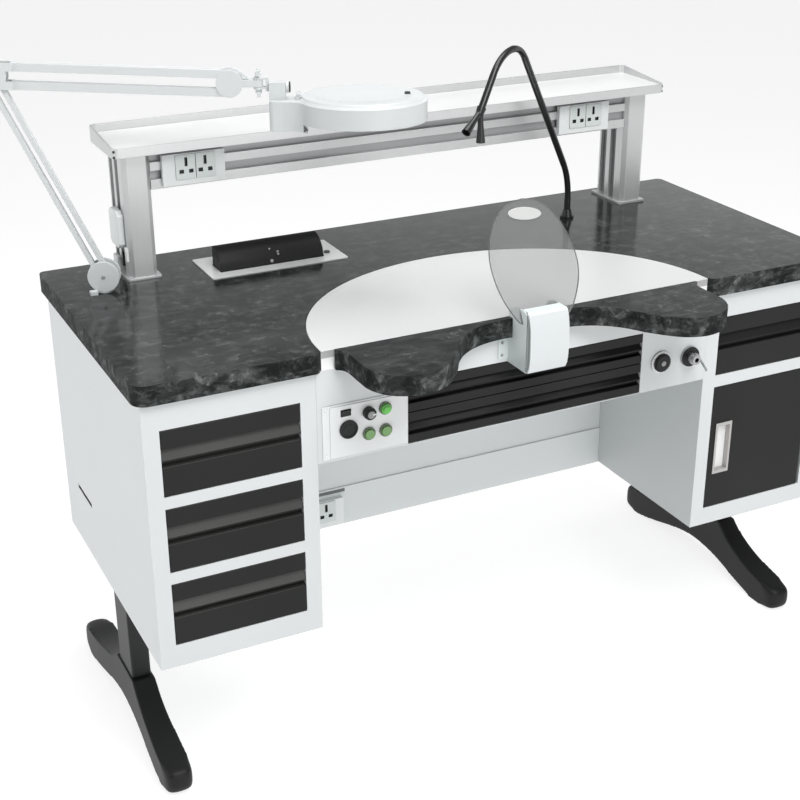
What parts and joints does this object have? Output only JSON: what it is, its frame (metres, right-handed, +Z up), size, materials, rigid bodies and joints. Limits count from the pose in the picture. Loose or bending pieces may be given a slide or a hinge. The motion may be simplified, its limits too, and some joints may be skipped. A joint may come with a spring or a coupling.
{
  "type": "dental laboratory workbench",
  "caption": "Dental laboratory workbench with drawers, steel work plate, arm rests, rear shelf, power sockets, suction shield, magnifier lamp and gooseneck lamp.",
  "frame": {"origin": "on the floor, in the middle of the bounding box of the bench with its lamps", "axes": "+X to the user's right along the worktop, +Y from the user to the back, +Z up"},
  "size_m": [1.4918, 0.749, 1.2163],
  "materials": {
    "granite": "gloss laminate with a dark granite pattern",
    "steel_plate": "satin",
    "dark_steel": "matt",
    "white_steel": "satin powder coat",
    "panel_plate": "satin",
    "bright_metal": "satin",
    "black_plastic": "semi-matt",
    "green_plastic": "gloss",
    "black_steel": "satin powder coat",
    "runner_steel": "zinc plated",
    "trunking": "satin",
    "socket_plastic": "semi-matt",
    "leg_steel": "fine textured",
    "column_steel": "fine textured",
    "aluminium": "anodised",
    "shelf_white": "satin laminate",
    "grey_plastic": "semi-matt",
    "suction_grey": "satin",
    "suction_white": "gloss",
    "clear_shield": "clear, polished",
    "lamp_metal": "satin white",
    "lamp_plastic": "gloss",
    "lens_glass": "polished",
    "gooseneck_black": "satin"
  },
  "bodies": {
    "bench": {"worktop": "granite", "work_plate": "steel_plate", "armrest_board": "granite", "armrest_brackets": "dark_steel", "centre_front": "white_steel", "centre_walls": "white_steel", "centre_floor": "white_steel", "control_plate": "panel_plate", "button_bezels": "bright_metal", "motor_socket": "black_plastic", "power_lamp": "green_plastic", "air_socket": "black_plastic", "air_coupler": "bright_metal", "left_cabinet": "white_steel", "left_runners": "runner_steel", "right_cabinet": "white_steel", "right_runners": "runner_steel", "knee_panel": "white_steel", "cable_trunking": "trunking", "knee_socket": "socket_plastic", "left_foot": "leg_steel", "right_foot": "leg_steel", "left_column": "column_steel", "right_column": "column_steel", "left_post": "aluminium", "right_post": "aluminium", "rear_rail": "aluminium", "shelf_frame": "aluminium", "shelf_panel": "shelf_white", "left_socket": "socket_plastic", "right_socket": "socket_plastic", "side_box": "socket_plastic", "power_frame": "steel_plate", "suction_housing": "suction_grey", "suction_cover": "suction_white", "lamp_base": "lamp_metal", "gooseneck_base": "gooseneck_black", "gooseneck_tube": "gooseneck_black", "gooseneck_spots": "gooseneck_black"},
    "rocker": {"rocker_switch": "black_plastic"},
    "knob": {"speed_knob": "black_plastic"},
    "start": {"start_button": "green_plastic"},
    "stop": {"stop_button": "green_plastic"},
    "lever": {"coupler_lever": "bright_metal"},
    "centre_upper": {"centre_upper_front": "black_steel", "centre_upper_box": "black_steel"},
    "centre_lower": {"centre_lower_front": "black_steel", "centre_lower_box": "black_steel"},
    "left_top": {"left_drawer_top": "black_steel"},
    "left_middle": {"left_drawer_middle": "black_steel"},
    "left_bottom": {"left_drawer_bottom": "black_steel"},
    "right_top": {"right_drawer": "black_steel"},
    "door": {"cabinet_door": "black_steel", "door_pull": "bright_metal"},
    "power_unit": {"power_box": "black_plastic"},
    "release": {"release_button": "grey_plastic"},
    "shield": {"shield": "clear_shield"},
    "lamp_pivot": {"lamp_pivot": "lamp_metal"},
    "lower_arm": {"lamp_lower_arm": "lamp_metal"},
    "upper_arm": {"lamp_upper_arm": "lamp_metal"},
    "neck": {"lamp_neck": "lamp_metal"},
    "head": {"lamp_head": "lamp_plastic", "lamp_lens": "lens_glass"},
    "lid": {"lamp_lid": "lamp_plastic"}
  },
  "joints": [
    {"name": "left_top_slide", "type": "slide", "parent": "bench", "child": "left_top", "axis": [0, -1, 0], "range_m": [0, 0.38]},
    {"name": "left_middle_slide", "type": "slide", "parent": "bench", "child": "left_middle", "axis": [0, -1, 0], "range_m": [0, 0.38]},
    {"name": "left_bottom_slide", "type": "slide", "parent": "bench", "child": "left_bottom", "axis": [0, -1, 0], "range_m": [0, 0.38]},
    {"name": "right_top_slide", "type": "slide", "parent": "bench", "child": "right_top", "axis": [0, -1, 0], "range_m": [0, 0.38]},
    {"name": "centre_upper_slide", "type": "slide", "parent": "bench", "child": "centre_upper", "axis": [0, -1, 0], "range_m": [0, 0.22]},
    {"name": "centre_lower_slide", "type": "slide", "parent": "bench", "child": "centre_lower", "axis": [0, -1, 0], "range_m": [0, 0.22]},
    {"name": "door_hinge", "type": "hinge", "parent": "bench", "child": "door", "pos_m": [0.69845, -0.20753, 0.427], "axis": [0, 0, 1], "range_deg": [0, 95]},
    {"name": "speed_turn", "type": "hinge", "parent": "bench", "child": "knob", "pos_m": [-0.25775, -0.22553, 0.6767], "axis": [0, 1, 0], "range_deg": [0, 290]},
    {"name": "rocker_tilt", "type": "hinge", "parent": "bench", "child": "rocker", "pos_m": [-0.29835, -0.21753, 0.6832], "axis": [1, 0, 0], "range_deg": [-8, 8]},
    {"name": "start_press", "type": "slide", "parent": "bench", "child": "start", "axis": [0, 1, 0], "range_m": [0, 0.002], "stiffness_N_per_m": 300, "springref_m": -0.001},
    {"name": "stop_press", "type": "slide", "parent": "bench", "child": "stop", "axis": [0, 1, 0], "range_m": [0, 0.002], "stiffness_N_per_m": 300, "springref_m": -0.001},
    {"name": "lever_turn", "type": "hinge", "parent": "bench", "child": "lever", "pos_m": [0.41495, -0.22753, 0.6522], "axis": [1, 0, 0], "range_deg": [-60, 30]},
    {"name": "power_unit_turn", "type": "hinge", "parent": "bench", "child": "power_unit", "pos_m": [-0.24905, 0.25747, 0.797], "axis": [1, 0, 0], "range_deg": [0, 90], "stiffness_Nm_per_rad": 0.1, "springref_deg": -68.75},
    {"name": "release_press", "type": "slide", "parent": "bench", "child": "release", "axis": [0, 0, -1], "range_m": [0, 0.002], "stiffness_N_per_m": 300, "springref_m": -0.001},
    {"name": "shield_lift", "type": "slide", "parent": "bench", "child": "shield", "axis": [0, 0.4226, 0.9063], "range_m": [0, 0.04]},
    {"name": "lamp_swivel", "type": "hinge", "parent": "bench", "child": "lamp_pivot", "pos_m": [-0.56875, 0.22117, 0.81], "axis": [0, 0, 1], "range_deg": [-60, 60]},
    {"name": "shoulder_tilt", "type": "hinge", "parent": "lamp_pivot", "child": "lower_arm", "pos_m": [-0.56875, 0.22117, 0.8295], "axis": [0.4067, 0.9135, 0], "range_deg": [-12, 11]},
    {"name": "elbow_tilt", "type": "hinge", "parent": "lower_arm", "child": "upper_arm", "pos_m": [-0.71498, 0.28627, 1.18733], "axis": [0.4067, 0.9135, 0], "range_deg": [-30, 3]},
    {"name": "neck_swivel", "type": "hinge", "parent": "upper_arm", "child": "neck", "pos_m": [-0.30456, 0.10354, 1.16844], "axis": [0, 0, 1], "range_deg": [-75, 75]},
    {"name": "head_roll", "type": "hinge", "parent": "neck", "child": "head", "pos_m": [-0.30456, 0.10354, 1.16084], "axis": [0.9135, -0.4067, 0], "range_deg": [-40, 50]},
    {"name": "lid_hinge", "type": "hinge", "parent": "head", "child": "lid", "pos_m": [-0.24361, 0.07573, 1.14725], "axis": [-0.4063, -0.9126, 0.0454], "range_deg": [0, 88]}
  ]
}
